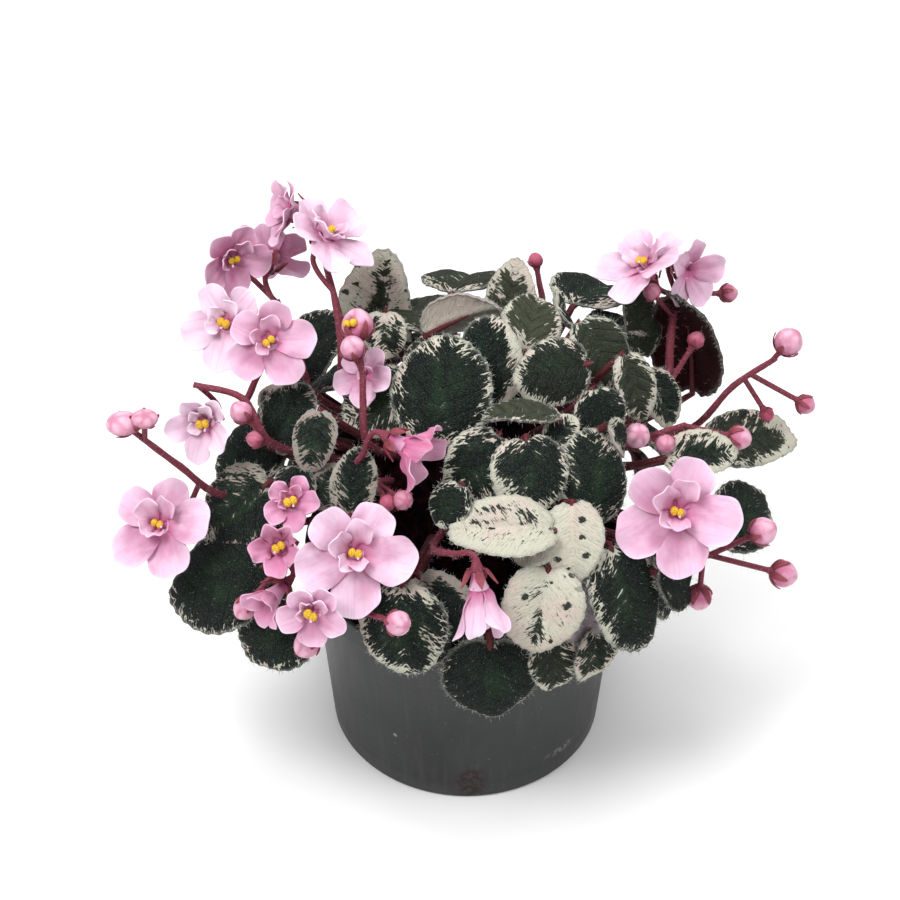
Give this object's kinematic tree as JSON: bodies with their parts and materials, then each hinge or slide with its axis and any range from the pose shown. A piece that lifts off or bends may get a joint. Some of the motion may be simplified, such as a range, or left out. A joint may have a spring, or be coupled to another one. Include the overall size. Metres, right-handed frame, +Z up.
{
  "type": "potted african violet",
  "caption": "Small african violet with variegated leaves and pink semi-double flowers in a low dark plastic nursery pot.",
  "frame": {"origin": "centre of the underside of the pot's base", "axes": "+Z up along the pot's axis, -Y towards the side that hangs lowest over the rim, +X to the right of it"},
  "size_m": [0.1952, 0.1445, 0.1642],
  "materials": {
    "pot": "satin dark grey",
    "soil": "rough",
    "leaf": "velvety dark green with white flecks",
    "stalk": "downy",
    "petal": "soft, crystalline",
    "anther": "matte"
  },
  "bodies": {
    "root": {"anthers_01": "anther", "anthers_03": "anther", "anthers_05": "anther", "anthers_06": "anther", "anthers_07": "anther", "anthers_08": "anther", "anthers_09": "anther", "anthers_10": "anther", "anthers_11": "anther", "anthers_12": "anther", "anthers_17": "anther", "anthers_18": "anther", "bloom_01": "petal", "bloom_02": "petal", "bloom_03": "petal", "bloom_04": "petal", "bloom_05": "petal", "bloom_06": "petal", "bloom_07": "petal", "bloom_08": "petal", "bloom_09": "petal", "bloom_10": "petal", "bloom_11": "petal", "bloom_12": "petal", "bloom_13": "petal", "bloom_14": "petal", "bloom_15": "petal", "bloom_16": "petal", "bloom_17": "petal", "bloom_18": "petal", "bloom_19": "petal", "pot": "pot", "rosette": "leaf", "soil": "soil", "stalk_back": "stalk", "stalk_far_left": "stalk", "stalk_front": "stalk", "stalk_front_left": "stalk", "stalk_hanging": "stalk", "stalk_left": "stalk", "stalk_lower_left": "stalk", "stalk_lower_right": "stalk", "stalk_middle_right": "stalk", "stalk_right": "stalk", "stalk_side": "stalk", "stalk_top": "stalk", "stalk_top_back": "stalk", "stalk_top_right": "stalk", "stalk_upper_left": "stalk", "stalk_upright": "stalk"}
  },
  "joints": []
}
